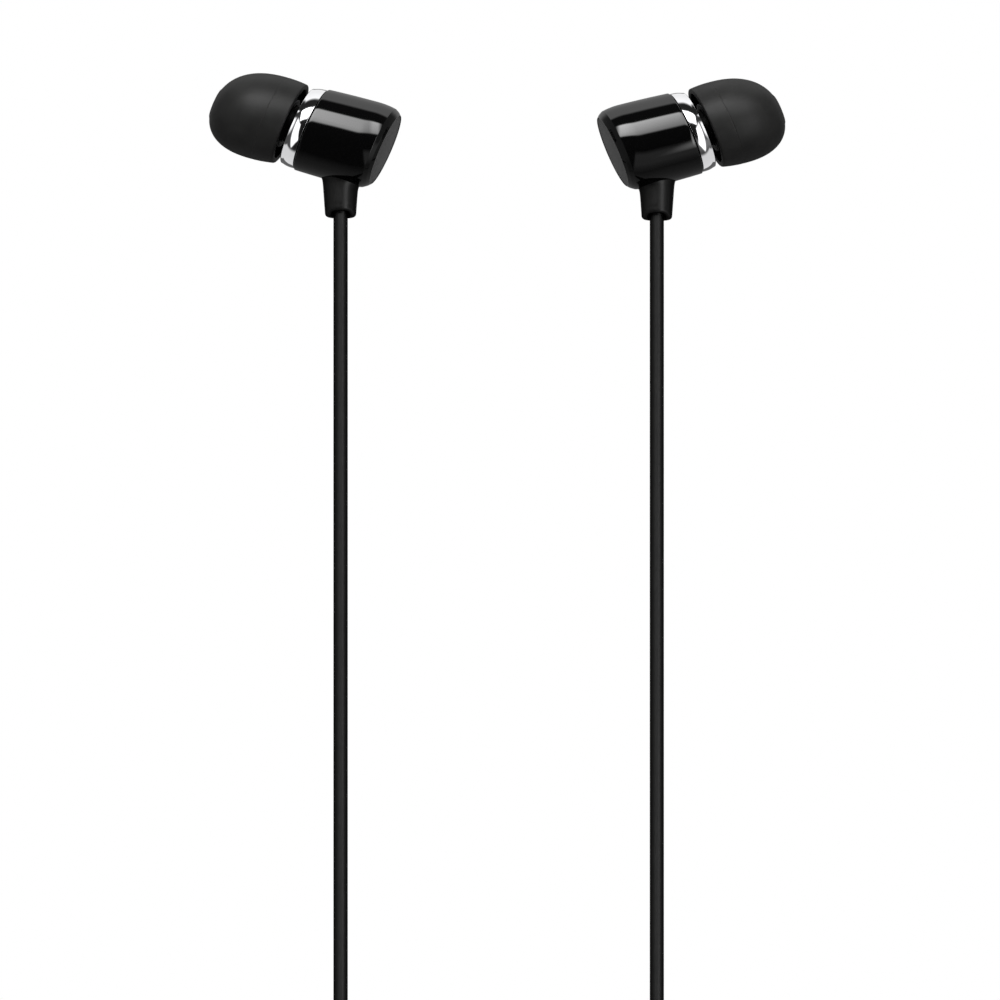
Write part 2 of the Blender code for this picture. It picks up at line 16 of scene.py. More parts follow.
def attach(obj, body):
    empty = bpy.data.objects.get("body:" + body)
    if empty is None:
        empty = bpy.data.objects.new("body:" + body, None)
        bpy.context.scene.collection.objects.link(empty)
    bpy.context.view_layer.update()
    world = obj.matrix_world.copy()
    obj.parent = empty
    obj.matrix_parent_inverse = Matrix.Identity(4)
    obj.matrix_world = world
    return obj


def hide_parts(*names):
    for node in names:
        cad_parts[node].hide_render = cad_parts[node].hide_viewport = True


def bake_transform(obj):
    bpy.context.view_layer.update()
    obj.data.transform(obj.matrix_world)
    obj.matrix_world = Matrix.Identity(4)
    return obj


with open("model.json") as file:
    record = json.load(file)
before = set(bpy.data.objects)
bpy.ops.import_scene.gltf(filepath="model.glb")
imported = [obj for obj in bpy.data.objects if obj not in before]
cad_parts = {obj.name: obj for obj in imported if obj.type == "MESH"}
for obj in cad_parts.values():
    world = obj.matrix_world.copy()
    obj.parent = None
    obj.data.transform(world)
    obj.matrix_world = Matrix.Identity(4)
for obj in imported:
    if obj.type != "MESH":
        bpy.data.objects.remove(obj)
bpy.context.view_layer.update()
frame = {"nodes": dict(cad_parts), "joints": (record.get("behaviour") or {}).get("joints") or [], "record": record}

MM = 0.001
JOINTS = {joint["name"]: joint for joint in frame["joints"]}
SIDES = (("_left", -1), ("_right", 1))

# Sizes that are the same as in the CAD
BOOT_BOTTOM = 11.6  # from the crossing of barrel and boot down to the boot's end
PIVOT_CLEARANCE = 0.8  # from the boot's end down to the cable's hinge
BOOT_AT = -3.42  # height on the barrel's axis where the boot's axis crosses it
BRANCH_R = 0.81
TRUNK_R = 1.0

# Number of sides of the round meshes
ROUND = 160
CABLE_ROUND = 24


# ------------------------------------------------------------------ mesh tools


def finish_mesh(name, bm, material, matrix=None, sharp=32):
    """Closes off a bmesh drawn in millimetres and places it by a matrix in millimetres."""
    bmesh.ops.recalc_face_normals(bm, faces=bm.faces)
    bmesh.ops.scale(bm, vec=(MM, MM, MM), verts=bm.verts)
    mesh = bpy.data.meshes.new(name)
    bm.to_mesh(mesh)
    bm.free()
    mesh.shade_smooth()
    mesh.set_sharp_from_angle(angle=math.radians(sharp))
    mesh.materials.append(material)
    obj = bpy.data.objects.new(name, mesh)
    bpy.context.scene.collection.objects.link(obj)
    if matrix is not None:
        obj.matrix_world = Matrix.Translation(matrix.to_translation() * MM) @ matrix.to_3x3().to_4x4()
    return obj


def fillet(corners, steps=6):
    """Rounds an open outline.  Each corner is (height, radius) or (height, radius, fillet)."""
    longest = 0.49  # share of a side that one fillet may take
    points = []
    for index, corner in enumerate(corners):
        here = Vector(corner[:2])
        size = corner[2] if len(corner) > 2 else 0
        if not size or index in (0, len(corners) - 1):
            points.append(here)
            continue
        back = Vector(corners[index - 1][:2]) - here
        ahead = Vector(corners[index + 1][:2]) - here
        half = back.angle(ahead) / 2
        weight = math.sin(half)
        reach = min(size / math.tan(half), back.length * longest, ahead.length * longest)
        start = here + back.normalized() * reach
        end = here + ahead.normalized() * reach
        for k in range(steps + 1):
            t = k / steps
            a, b, c = (1 - t) ** 2, 2 * t * (1 - t) * weight, t**2
            points.append((start * a + here * b + end * c) / (a + b + c))
    return [(p.x, p.y) for p in points]


def revolve(name, outline, material, matrix, sides=ROUND, sharp=32, closed=False):
    """Turns an outline of (height, radius) about Z; points on the axis become poles."""
    bm = bmesh.new()
    turns = [math.tau * k / sides for k in range(sides)]
    rings = []
    for height, radius in outline:
        if radius == 0:
            rings.append([bm.verts.new((0, 0, height))])
            continue
        rings.append([bm.verts.new((radius * math.cos(a), radius * math.sin(a), height)) for a in turns])
    pairs = list(zip(rings, rings[1:]))
    if closed:
        pairs.append((rings[-1], rings[0]))
    for low, high in pairs:
        for k in range(sides):
            n = k + 1
            corners = [low[k % len(low)], low[n % len(low)], high[n % len(high)], high[k % len(high)]]
            bm.faces.new(list(dict.fromkeys(corners)))
    return finish_mesh(name, bm, material, matrix, sharp)


def sweep_into(bm, path, radius, sides):
    """Adds a closed round bar along the path to a bmesh."""
    count = len(path)
    tangents = [(path[min(i + 1, count - 1)] - path[max(i - 1, 0)]).normalized() for i in range(count)]
    turns = [math.tau * k / sides for k in range(sides)]
    circle = [(math.cos(a), math.sin(a)) for a in turns]
    normal = tangents[0].orthogonal().normalized()
    rings = []
    for point, tangent in zip(path, tangents):
        normal = (normal - tangent * normal.dot(tangent)).normalized()
        across = tangent.cross(normal)
        rings.append([bm.verts.new(point + radius * (normal * c + across * s)) for c, s in circle])
    for low, high in zip(rings, rings[1:]):
        for k in range(sides):
            n = (k + 1) % sides
            bm.faces.new((low[k], low[n], high[n], high[k]))
    bm.faces.new(rings[0][::-1])
    bm.faces.new(rings[-1])


def sweep(name, path, radius, material):
    """A length of cable along the path."""
    bm = bmesh.new()
    sweep_into(bm, path, radius, CABLE_ROUND)
    return finish_mesh(name, bm, material, sharp=50)


def bezier(p0, p1, p2, p3, steps):
    """Points on a cubic curve from p0 to p3."""
    points = []
    for k in range(steps + 1):
        t = k / steps
        s = 1 - t
        points.append(p0 * s**3 + p1 * 3 * s * s * t + p2 * 3 * s * t * t + p3 * t**3)
    return points


def smoothstep(t):
    """Goes from 0 to 1 with level ends."""
    t = min(max(t, 0.0), 1.0)
    return t * t * (3 - 2 * t)


# ------------------------------------------------------------------ materials


class Nodes:
    """A thin wrapper that keeps node building short."""

    def __init__(self, tree):
        self.tree = tree

    def add(self, kind, **values):
        node = self.tree.nodes.new(kind)
        for key, value in values.items():
            setattr(node, key, value)
        return node

    def link(self, output, target):
        self.tree.links.new(output, target)

    def maths(self, operation, a, b=None):
        """Works on outputs or plain numbers."""
        node = self.add("ShaderNodeMath", operation=operation)
        for socket, value in zip(node.inputs, (a, b)):
            if value is None:
                continue
            if isinstance(value, (int, float)):
                socket.default_value = value
            else:
                self.link(value, socket)
        return node.outputs[0]

    def product(self, *factors):
        total = factors[0]
        for factor in factors[1:]:
            total = self.maths("MULTIPLY", total, factor)
        return total

    def noise(self, vector, scale, detail=3.0, roughness=0.5):
        node = self.add("ShaderNodeTexNoise")
        node.inputs["Scale"].default_value = scale
        node.inputs["Detail"].default_value = detail
        node.inputs["Roughness"].default_value = roughness
        self.link(vector, node.inputs["Vector"])
        return node.outputs["Fac"]

    def stretch(self, vector, scale):
        """Scales the coordinates along each axis."""
        node = self.add("ShaderNodeMapping")
        node.inputs["Scale"].default_value = scale
        self.link(vector, node.inputs["Vector"])
        return node.outputs["Vector"]

    def span(self, value, low, high):
        """Maps 0..1 to low..high."""
        node = self.add("ShaderNodeMapRange")
        node.inputs["To Min"].default_value = low
        node.inputs["To Max"].default_value = high
        self.link(value, node.inputs["Value"])
        return node.outputs["Result"]

    def fade(self, value, start, end, low, high):
        """Goes smoothly from low to high while the value goes from start to end."""
        node = self.add("ShaderNodeMapRange", interpolation_type="SMOOTHSTEP")
        for key, number in (("From Min", start), ("From Max", end), ("To Min", low), ("To Max", high)):
            node.inputs[key].default_value = number
        self.link(value, node.inputs["Value"])
        return node.outputs["Result"]

    def ramp(self, value, stops):
        """Stops are (position, grey level or colour)."""
        node = self.add("ShaderNodeValToRGB")
        elements = node.color_ramp.elements
        while len(elements) < len(stops):
            elements.new(0.5)
        for element, (position, colour) in zip(elements, stops):
            element.position = position
            grey = isinstance(colour, (int, float))
            element.color = (colour, colour, colour, 1) if grey else (*colour, 1)
        self.link(value, node.inputs["Fac"])
        return node.outputs["Color"]

    def bump(self, height, distance, strength, under=None):
        """A normal from a height; under is a normal that it is laid over."""
        node = self.add("ShaderNodeBump")
        node.inputs["Distance"].default_value = distance
        node.inputs["Strength"].default_value = strength
        self.link(height, node.inputs["Height"])
        if under is not None:
            self.link(under, node.inputs["Normal"])
        return node.outputs["Normal"]


def new_material(name, colour=None, roughness=None, metallic=0.0, specular=None):
    """A Principled material; returns it with its node helper, shader and object coordinates.
    A value left out keeps the shader's own or is driven by a pattern later."""
    made = bpy.data.materials.new(name)
    made.use_nodes = True
    nodes = Nodes(made.node_tree)
    shader = made.node_tree.nodes["Principled BSDF"]
    shader.inputs["Metallic"].default_value = metallic
    if colour is not None:
        shader.inputs["Base Color"].default_value = (*colour, 1)
    if roughness is not None:
        shader.inputs["Roughness"].default_value = roughness
    if specular is not None:
        shader.inputs["Specular IOR Level"].default_value = specular
    where = nodes.add("ShaderNodeTexCoord").outputs["Object"]
    return made, nodes, shader, where


def tint(nodes, shader, value, dark, light):
    """Lets a 0..1 value move the base colour between two colours."""
    nodes.link(nodes.ramp(value, [(0.3, dark), (0.7, light)]), shader.inputs["Base Color"])


def vary_roughness(nodes, shader, value, low, high):
    """Lets a 0..1 value move the roughness between two levels."""
    nodes.link(nodes.span(value, low, high), shader.inputs["Roughness"])


def emboss(nodes, shader, height, distance, strength, under=None):
    """Lets a height disturb the surface."""
    nodes.link(nodes.bump(height, distance, strength, under), shader.inputs["Normal"])


def scale_colour(nodes, shader, factor):
    """Multiplies whatever feeds the base colour by a factor."""
    source = shader.inputs["Base Color"].links[0].from_socket
    scaled = nodes.add("ShaderNodeVectorMath", operation="SCALE")
    nodes.link(source, scaled.inputs[0])
    nodes.link(factor, scaled.inputs["Scale"])
    nodes.link(scaled.outputs[0], shader.inputs["Base Color"])


def paint_outline_shade(nodes, shader, start, end, least):
    """Paints shade along the outline: the colour and sheen of a dull skin fall off where it turns away from the
    eye.
    """
    facing = nodes.add("ShaderNodeLayerWeight").outputs["Facing"]
    kept = nodes.fade(facing, start, end, 1.0, least)
    scale_colour(nodes, shader, kept)
    sheen = shader.inputs["Specular IOR Level"]
    nodes.link(nodes.maths("MULTIPLY", kept, sheen.default_value), sheen)


def paint_skirt_shade(nodes, shader, where):
    """Paints shade into the colour: the inside of the skirt, where hardly any light gets, goes dark, and so does
    its rim.
    """
    inside_shade, rim_shade = 0.12, 0.25
    split = nodes.add("ShaderNodeSeparateXYZ")
    nodes.link(where, split.inputs[0])
    x, y, z = split.outputs
    from_axis = nodes.maths("SQRT", nodes.maths("ADD", nodes.product(x, x), nodes.product(y, y)))
    near_skin = nodes.fade(from_axis, 5.2 * MM, 5.6 * MM, inside_shade, 1.0)
    near_nose = nodes.fade(z, 7.0 * MM, 8.2 * MM, inside_shade, 1.0)
    scale_colour(nodes, shader, nodes.maths("MAXIMUM", near_skin, near_nose))
    # painted shade on the rim face
    scale_colour(nodes, shader, nodes.fade(z, 2.5 * MM, 2.8 * MM, rim_shade, 1.0))


def silicone_material():
    made, nodes, shader, where = new_material("silicone_skin", specular=0.3)
    tint(nodes, shader, nodes.noise(where, 420.0, 4.0), (0.021, 0.021, 0.0206), (0.03, 0.03, 0.0294))
    # painted shade inside the skirt and on its rim
    paint_skirt_shade(nodes, shader, where)
    # painted shade: the tip's colour and sheen darken towards its outline
    paint_outline_shade(nodes, shader, 0.55, 0.95, 0.35)
    vary_roughness(nodes, shader, nodes.noise(where, 900.0), 0.4, 0.5)
    emboss(nodes, shader, nodes.noise(where, 9000.0, 2.0, 0.6), 0.00001, 0.5)
    return made


def gloss_material():
    """Lacquer with a faint orange peel and fine lines along the barrel."""
    made, nodes, shader, where = new_material("gloss_black_shell", (0.0015, 0.0015, 0.0016), specular=0.95)
    vary_roughness(nodes, shader, nodes.noise(where, 700.0, 5.0), 0.035, 0.085)
    peel = nodes.bump(nodes.noise(where, 160.0, 1.0), 0.00006, 0.35)
    lines = nodes.noise(nodes.stretch(where, (1400.0, 1400.0, 60.0)), 1.0, 3.0)
    emboss(nodes, shader, lines, 0.000004, 0.4, peel)
    return made


def cap_material():
    """Satin plastic with streaks across the disc."""
    made, nodes, shader, where = new_material("satin_cap", specular=0.3)
    streaks = nodes.noise(nodes.stretch(where, (150.0, 700.0, 300.0)), 1.0, 4.0, 0.7)
    tint(nodes, shader, streaks, (0.042, 0.042, 0.042), (0.14, 0.14, 0.14))
    vary_roughness(nodes, shader, streaks, 0.3, 0.5)
    emboss(nodes, shader, streaks, 0.00002, 0.5)
    return made


def chrome_material():
    made, nodes, shader, where = new_material("chrome_plate", (0.62, 0.62, 0.63), metallic=1.0)
    vary_roughness(nodes, shader, nodes.noise(where, 1500.0, 4.0), 0.03, 0.1)
    emboss(nodes, shader, nodes.noise(where, 500.0, 2.0), 0.00003, 0.3)
    return made


def rubber_material(name, grey, roughness):
    """Soft black rubber of a given grey level."""
    made, nodes, shader, where = new_material(name, specular=0.42)
    cloud = nodes.noise(where, 350.0, 4.0)
    tint(nodes, shader, cloud, (grey * 0.85,) * 3, (grey * 1.15, grey * 1.15, grey * 1.1))
    # painted shade: the rubber's colour and sheen darken towards its outline
    paint_outline_shade(nodes, shader, 0.1, 0.65, 0.06)
    vary_roughness(nodes, shader, nodes.noise(where, 1200.0), roughness - 0.06, roughness + 0.06)
    emboss(nodes, shader, nodes.noise(where, 6500.0, 3.0, 0.6), 0.000015, 0.5)
    return made


def plastic_material():
    made, nodes, shader, where = new_material("moulded_plastic", (0.003, 0.003, 0.003), specular=0.2)
    vary_roughness(nodes, shader, nodes.noise(where, 1500.0), 0.34, 0.48)
    emboss(nodes, shader, nodes.noise(where, 5000.0, 3.0), 0.00001, 0.4)
    return made


def metal_material(name, colour, roughness, lathe=False):
    """Bare metal; lathe adds the fine rings left by turning."""
    made, nodes, shader, where = new_material(name, metallic=1.0)
    stretch = (300.0, 300.0, 9000.0) if lathe else (2500.0, 2500.0, 2500.0)
    grain = nodes.noise(nodes.stretch(where, stretch), 1.0, 3.0)
    vary_roughness(nodes, shader, grain, roughness * 0.7, roughness * 1.4)
    tint(nodes, shader, grain, tuple(c * 0.88 for c in colour), colour)
    emboss(nodes, shader, grain, 0.000004, 0.5)
    return made


def film_material():
    made, nodes, shader, where = new_material("driver_film", (0.65, 0.58, 0.42), 0.3)
    emboss(nodes, shader, nodes.noise(where, 2000.0), 0.00002, 0.4)
    return made


def board_material():
    made, nodes, shader, where = new_material("circuit_board", roughness=0.35)
    tint(nodes, shader, nodes.noise(where, 3000.0), (0.015, 0.09, 0.035), (0.03, 0.16, 0.07))
    return made


def foam_material():
    made, nodes, shader, where = new_material("foam", (0.06, 0.06, 0.06), 0.95)
    emboss(nodes, shader, nodes.noise(where, 6000.0, 5.0, 0.7), 0.00006, 0.8)
    return made


def make_materials():
    return {
        "silicone": silicone_material(),
        "gloss_black": gloss_material(),
        "satin_cap": cap_material(),
        "chrome": chrome_material(),
        "rubber_black": rubber_material("boot_rubber", 0.013, 0.36),
        "cable_jacket": rubber_material("cable_jacket", 0.008, 0.42),
        "abs_black": plastic_material(),
        "steel": metal_material("steel", (0.56, 0.56, 0.57), 0.3),
        "steel_mesh": metal_material("mesh_wire", (0.42, 0.42, 0.43), 0.3),
        "magnet": metal_material("nickel", (0.6, 0.59, 0.57), 0.2),
        "copper": metal_material("copper", (0.72, 0.33, 0.18), 0.25),
        "gold": metal_material("gold_plate", (0.9, 0.66, 0.3), 0.16, lathe=True),
        "film": film_material(),
        "board": board_material(),
        "foam": foam_material(),
    }


def paint_cad_nodes(materials):
    """Gives every CAD node the finish that the record names for it."""
    for entry in frame["record"]["subparts"]:
        node = frame["nodes"][entry["node"]]
        node.data.materials.clear()
        node.data.materials.append(materials[entry["material_slot"]])


# ------------------------------------------------------------------ earpieces


def axis_matrix(suffix):
    """The earpiece's axis frame, in millimetres, from the tip's slide and the boot's hinge."""
    axis = Vector(JOINTS["tip_pull" + suffix]["axis"]).normalized()
    pivot = Vector(JOINTS["earpiece_bend" + suffix]["pos_m"]) / MM
    crossing = pivot + Vector((0, 0, BOOT_BOTTOM + PIVOT_CLEARANCE))
    up = (Vector((0, 0, 1)) - axis * axis.z).normalized()
    turn = Matrix((up.cross(axis), up, axis)).transposed().to_4x4()
    return Matrix.Translation(crossing - axis * BOOT_AT) @ turn


def boot_matrix(suffix):
    """An upright frame, in millimetres, at the crossing of the barrel's and boot's axes."""
    pivot = Vector(JOINTS["earpiece_bend" + suffix]["pos_m"]) / MM
    return Matrix.Translation(pivot + Vector((0, 0, BOOT_BOTTOM + PIVOT_CLEARANCE)))


def place(piece, body, slot, *nodes):
    """Hangs a piece on its body, in place of CAD nodes."""
    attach(piece, body)
    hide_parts(*nodes)
    return piece


TIP_RIM, TIP_WIDEST, TIP_NOSE = 2.5, 5.1, 11.65
TIP_RIM_R, TIP_R, TIP_POWER = 5.93, 6.22, 2.4
TIP_WALL = 0.75


def tip_radius(height):
    """Outside of the tip: nearly straight at the skirt and a full dome towards the nose."""
    if height <= TIP_WIDEST:
        share = (TIP_WIDEST - height) / (TIP_WIDEST - TIP_RIM)
        return TIP_R - (TIP_R - TIP_RIM_R) * share**2
    share = (height - TIP_WIDEST) / (TIP_NOSE - TIP_WIDEST)
    return TIP_R * (1 - share**TIP_POWER) ** (1 / TIP_POWER)


def ear_tip(suffix, matrix, mats):
    """A dome with a sound bore, a hanging skirt and a core that grips the nozzle."""
    crease_at, crease_deep, crease_wide = 4.95, 0.028, 0.05
    mouth_r, bore_r = 2.35, 1.95
    core_r, core_inner_r, core_rear, core_front = 3.6, 2.8, 2.65, 7.4
    edge, row_gap, dome_rows = 0.36, 0.12, 70
    dome_end = (1 - (mouth_r / TIP_R) ** TIP_POWER) ** (1 / TIP_POWER)
    turn_end = math.asin(dome_end)
    skirt_rows = int((TIP_WIDEST - TIP_RIM - edge) / row_gap)
    heights = [TIP_RIM + edge + row_gap * k for k in range(skirt_rows)]
    for k in range(dome_rows + 1):
        heights.append(TIP_WIDEST + (TIP_NOSE - TIP_WIDEST) * math.sin(turn_end * k / dome_rows))
    heights += [crease_at + crease_wide * 0.6 * k for k in range(-4, 5)]
    skirt = []
    for height in sorted(heights):
        groove = crease_deep * math.exp(-(((height - crease_at) / crease_wide) ** 2))
        skirt.append((height, tip_radius(height) - groove))
    nose = fillet([skirt[-1], (TIP_NOSE - 0.08, bore_r + 0.05, 0.3), (10.8, bore_r)], 10)[1:]
    bore = fillet([(10.7, bore_r), (core_front, bore_r, 0.15), (core_front, core_inner_r, 0.15),
                   (2.7, core_inner_r, 0.15), (core_rear, core_r, 0.25), (3.1, core_r)])
    joint = fillet([(3.2, core_r), (8.15, core_r, 0.5), (8.5, 4.7, 0.6), (7.6, tip_radius(7.6) - TIP_WALL)])
    inside = [(h, tip_radius(h) - TIP_WALL) for h in (7.2, 6.6, 5.9, TIP_WIDEST, 4.4, 3.7, TIP_RIM + 0.6)]
    edge_r = tip_radius(TIP_RIM + edge)
    rim = fillet([(TIP_RIM + edge, edge_r - TIP_WALL), (TIP_RIM, TIP_RIM_R - TIP_WALL, 0.2),
                  (TIP_RIM, TIP_RIM_R, 0.3), (TIP_RIM + edge, edge_r)], 10)
    outline = skirt + nose + bore + joint + inside + rim[:-1]
    piece = revolve("silicone_tip" + suffix, outline, mats["silicone"], matrix, closed=True, sharp=60)
    return place(piece, "tip" + suffix, "silicone", "ear_tip" + suffix)


RING_REAR, RING_FRONT, RING_R = 0.12, 1.76, 5.93
RING_CROWN = 0.3  # height at which the ring is widest
RING_FALL, RING_FALL_LENGTH, RING_FALL_POWER = 0.25, 1.2, 2.4  # its taper from there to the front


def ring_radius(height):
    """The ring's crowned outside, which falls away faster and faster towards the tip."""
    ahead = max(height - RING_CROWN, 0.0) / RING_FALL_LENGTH
    behind = min(height - RING_CROWN, 0.0)
    return RING_R - RING_FALL * ahead**RING_FALL_POWER - 0.5 * behind**2


def chrome_ring(suffix, matrix, mats):
    """The bright ring in front of the barrel."""
    inner_r, crown_start, row_gap, rows = 4.3, 0.22, 0.05, 24
    rear = fillet([(0.5, inner_r), (RING_REAR, inner_r), (RING_REAR, ring_radius(RING_REAR), 0.05),
                   (crown_start, ring_radius(crown_start))], 5)
    heights = [crown_start + row_gap * k for k in range(1, rows + 1)]
    crown = [(height, ring_radius(height)) for height in heights]
    front = fillet([crown[-1], (RING_FRONT, ring_radius(1.62), 0.14), (RING_FRONT, inner_r)], 10)
    outline = rear + crown + front[1:]
    piece = revolve("chrome_bezel" + suffix, outline, mats["chrome"], matrix, sharp=40, closed=True)
    return place(piece, "earpiece" + suffix, "chrome", "chrome_ring" + suffix)


BARREL_FRONT_R, BARREL_BULGE_R, BARREL_BULGE_AT = 6.12, 6.27, -5.9
BARREL_CREASE, BARREL_CREASE_R, BARREL_EDGE_R = -8.02, 5.96, 5.62
BARREL_END, CAP_R, CAP_FACE = -8.8, 5.1, -8.75


def barrel_side(height):
    """Radius of the barrel's side: a faint bulge that falls off faster towards the rear."""
    if height > BARREL_BULGE_AT:
        end, end_r = 0.0, BARREL_FRONT_R
    else:
        end, end_r = BARREL_CREASE, BARREL_CREASE_R
    share = (height - BARREL_BULGE_AT) / (end - BARREL_BULGE_AT)
    return BARREL_BULGE_R - (BARREL_BULGE_R - end_r) * share**2


def barrel_outline():
    """The outside, from the rounded front edge over the side and the rear chamfer to the cap's seat."""
    front_at, side_from, rows = -0.02, -0.4, 30
    seat_r = CAP_R + 0.05
    front = fillet([(front_at, 5.6), (front_at, barrel_side(front_at), 0.09),
                    (side_from, barrel_side(side_from))], 5)
    side = []
    for k in range(1, rows + 1):
        height = side_from + (BARREL_CREASE + 0.1 - side_from) * k / rows
        side.append((height, barrel_side(height)))
    rear = fillet([side[-1], (BARREL_CREASE, BARREL_CREASE_R, 0.09),
                   (BARREL_CREASE - 0.45, BARREL_EDGE_R, 0.5), (BARREL_END, CAP_R + 0.12, 0.06),
                   (BARREL_END, seat_r), (-8.5, seat_r)], 12)
    return front + side + rear[1:]


def barrel(suffix, matrix, mats):
    """The gloss housing, hollow, with a ledge inside for the end cap."""
    inside = [(-8.05, 5.15), (-8.05, 4.6), (-7.4, 4.6), (-7.4, 5.2), (-0.02, 5.2)]
    piece = revolve("gloss_barrel" + suffix, barrel_outline() + inside, mats["gloss_black"], matrix,
                    sides=192, sharp=24, closed=True)
    return place(piece, "earpiece" + suffix, "gloss_black", "barrel" + suffix)


def end_cap(suffix, matrix, mats):
    """The satin disc that closes the barrel, with a spigot inside it."""
    inner_face, spigot_end, spigot_r, spigot_inner_r = -8.1, -7.5, 4.55, 3.8
    outline = fillet([(CAP_FACE, 0), (CAP_FACE, CAP_R, 0.08), (inner_face, CAP_R), (inner_face, spigot_r),
                      (spigot_end, spigot_r), (spigot_end, spigot_inner_r), (inner_face, spigot_inner_r),
                      (inner_face, 0)])
    piece = revolve("satin_disc" + suffix, outline, mats["satin_cap"], matrix)
    return place(piece, "earpiece" + suffix, "satin_cap", "end_cap" + suffix)


def front_shell(suffix, matrix, mats):
    """The plastic front inside ring and tip: a funnel, the nozzle and the lip that holds the tip."""
    outline = fillet([(-1.0, 4.3), (-1.0, 5.15), (0.0, 5.15), (0.0, 4.25), (1.74, 4.25, 0.15),
                      (1.78, 2.6, 0.2), (6.3, 2.55, 0.2), (6.5, 2.76, 0.15), (7.0, 2.7, 0.15),
                      (7.0, 2.1, 0.05), (6.6, 2.06), (6.6, 1.7), (0.9, 1.7), (-0.2, 4.3)])
    piece = revolve("nozzle_shell" + suffix, outline, mats["abs_black"], matrix, closed=True)
    return place(piece, "earpiece" + suffix, "abs_black", "front_shell" + suffix)


def nozzle_mesh(suffix, matrix, mats):
    """Woven wire cloth: two sets of wires that pass over and under each other."""
    bm = bmesh.new()
    radius, pitch, wire, middle = 1.97, 0.3, 0.055, 6.75
    count = int(radius / pitch)
    for across in (False, True):
        for k in range(-count, count + 1):
            offset = k * pitch
            half = math.sqrt(radius**2 - offset**2) - 0.03
            steps = 2 * max(4, int(half / 0.05))
            phase = math.pi * (k + across)
            path = []
            for n in range(steps + 1):
                along = -half + 2 * half * n / steps
                rise = middle + wire * 0.95 * math.cos(math.pi * along / pitch + phase)
                path.append(Vector((offset, along, rise)) if across else Vector((along, offset, rise)))
            sweep_into(bm, path, wire, 8)
    piece = finish_mesh("wire_cloth" + suffix, bm, mats["steel_mesh"], matrix)
    return place(piece, "earpiece" + suffix, "steel_mesh", "nozzle_mesh" + suffix)


def barrel_radius(height):
    """Radius of the barrel's outside at a height on its axis."""
    outline = sorted(barrel_outline())
    for (low, r_low), (high, r_high) in zip(outline, outline[1:]):
        if low <= height <= high and high > low:
            return r_low + (r_high - r_low) * (height - low) / (high - low)
    return outline[0][1]


BOOT_TOP, BOOT_TOP_R, BOOT_TAPER = 5.4, 2.07, 0.34


def boot_radius(depth):
    """The boot's taper; depth is measured down from the crossing of the axes."""
    share = (depth - BOOT_TOP) / (BOOT_BOTTOM - BOOT_TOP)
    return BOOT_TOP_R - BOOT_TAPER * share


def saddle_depth(x, y, to_axis):
    """How far below the crossing a vertical line through (x, y) leaves the barrel."""
    low, high = 3.0, 11.0
    halvings, gap = 24, 0.015
    for _ in range(halvings):
        middle = (low + high) / 2
        local = to_axis @ Vector((x, y, -middle))
        inside = math.hypot(local.x, local.y) < barrel_radius(local.z) + gap
        low, high = (middle, high) if inside else (low, middle)
    return high


def mouth_rise(angle):
    """How far the boot's lower edge is cut back at an angle; it is highest at the front."""
    highest, half_width = 0.8, math.radians(80)
    off_front = math.remainder(angle + math.pi / 2, math.tau) / half_width
    return highest * smoothstep(1 - off_front**2)


def boot(suffix, matrix, upright, mats):
    """A tapered sleeve whose top follows the barrel and whose mouth is cut back at the front."""
    sides, levels, round_steps = 96, 40, 8
    round_r, round_share = 0.55, 0.8
    mouth_r, dish = 1.08, 1.3
    bore_r, bore_top_r = BRANCH_R + 0.02, 1.2
    flare_width, flare_fade = 0.12, 0.35
    cut_from = 0.6  # share of the way down at which the cut-back starts
    to_axis = matrix.inverted() @ upright
    top_r = boot_radius(BOOT_TOP) + flare_width
    angles = [math.tau * k / sides for k in range(sides)]
    tops = [saddle_depth(top_r * math.cos(a), top_r * math.sin(a), to_axis) - 0.02 for a in angles]
    rises = [mouth_rise(a) for a in angles]
    bm = bmesh.new()
    rings = []

    def add_ring(depths, radii):
        places = zip(angles, depths, radii)
        rings.append([bm.verts.new((r * math.cos(a), r * math.sin(a), -depth)) for a, depth, r in places])

    def add_mouth_ring(depth, radius):
        add_ring([depth - rise for rise in rises], [radius] * sides)

    low_edge = BOOT_BOTTOM - round_r
    for level in range(levels + 1):
        share = level / levels
        lift = smoothstep((share - cut_from) / (1 - cut_from))
        depths = [top + (low_edge - top) * share for top in tops]
        flares = [flare_width * math.exp((top - d) / flare_fade) for d, top in zip(depths, tops)]
        radii = [boot_radius(d) + flare for d, flare in zip(depths, flares)]
        add_ring([d - lift * rise for d, rise in zip(depths, rises)], radii)
    for step in range(1, round_steps + 1):
        turn = math.radians(90 * step / round_steps)
        inwards = round_r * (1 - math.cos(turn)) * round_share
        add_mouth_ring(low_edge + round_r * math.sin(turn), boot_radius(low_edge) - inwards)
    add_mouth_ring(BOOT_BOTTOM - 0.02, mouth_r + 0.08)
    add_mouth_ring(BOOT_BOTTOM - 0.12, mouth_r)
    for depth, radius in ((dish, mouth_r - 0.06), (dish + 0.08, bore_r), (5.5, bore_r)):
        add_ring([BOOT_BOTTOM - depth] * sides, [radius] * sides)
    add_ring([top - 0.35 for top in tops], [bore_top_r] * sides)
    for low, high in zip(rings, rings[1:] + rings[:1]):
        for k in range(sides):
            n = (k + 1) % sides
            bm.faces.new((low[k], low[n], high[n], high[k]))
    piece = finish_mesh("rubber_boot" + suffix, bm, mats["rubber_black"], upright, sharp=50)
    return place(piece, "earpiece" + suffix, "rubber_black", "boot" + suffix)


def cable_end(suffix, upright, mats):
    """The cable inside the boot, with the bead that keeps it from pulling out."""
    low, bead_low, bead_high, bead_r = 1.2 - BOOT_BOTTOM, -4.7, -3.7, 1.1
    outline = fillet([(low, 0), (low, BRANCH_R), (bead_low, BRANCH_R), (bead_low, bead_r, 0.2),
                      (bead_high, bead_r, 0.2), (bead_high, 0)])
    piece = revolve("cable_anchor" + suffix, outline, mats["cable_jacket"], upright, sides=48)
    return place(piece, "earpiece" + suffix, "cable_jacket", "cable_end" + suffix)


